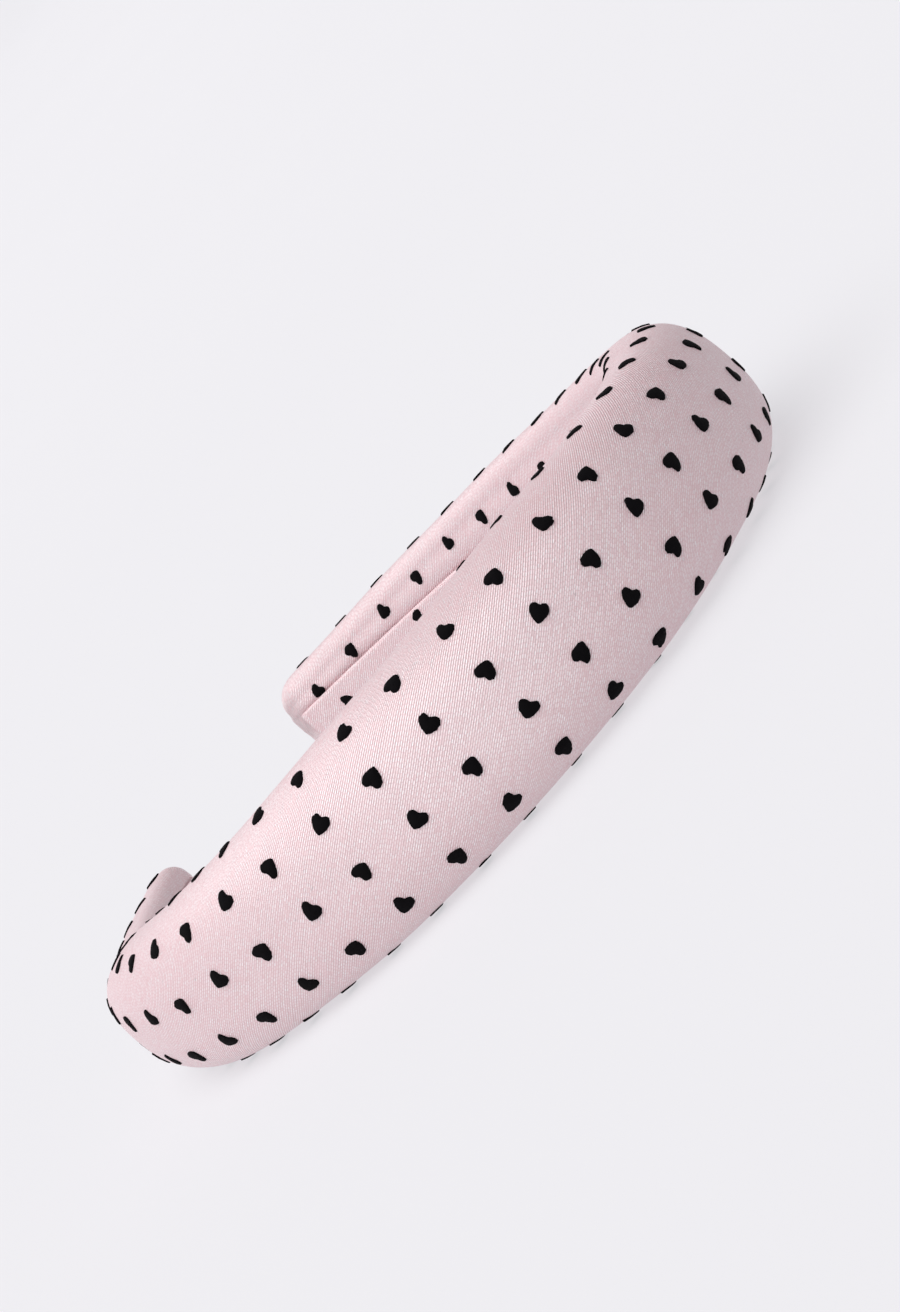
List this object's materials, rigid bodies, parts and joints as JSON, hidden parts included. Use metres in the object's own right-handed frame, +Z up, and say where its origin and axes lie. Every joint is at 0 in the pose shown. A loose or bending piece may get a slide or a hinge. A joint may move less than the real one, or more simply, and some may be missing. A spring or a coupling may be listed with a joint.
{
  "type": "padded hairband with flocked hearts",
  "caption": "Padded satin hairband with a domed crown, tapering arms, a lining strip and a small heart pattern; lies on its side.",
  "frame": {"origin": "centre of the object's box, at the height of the surface that the band lies on", "axes": "+X from one arm to the other, +Y from the crown towards the tips, +Z up, across the band's width as it lies on its side"},
  "size_m": [0.1398, 0.1698, 0.0311],
  "materials": {
    "satin": "pale pink satin with a fine twill grain and a soft sheen",
    "lining_satin": "the same pale pink satin, folded under along both edges",
    "black_flock": "short matt black flock, slightly raised, with a soft irregular edge"
  },
  "bodies": {
    "root": {"padded_cover": "satin", "lining_strip": "lining_satin"}
  },
  "joints": []
}
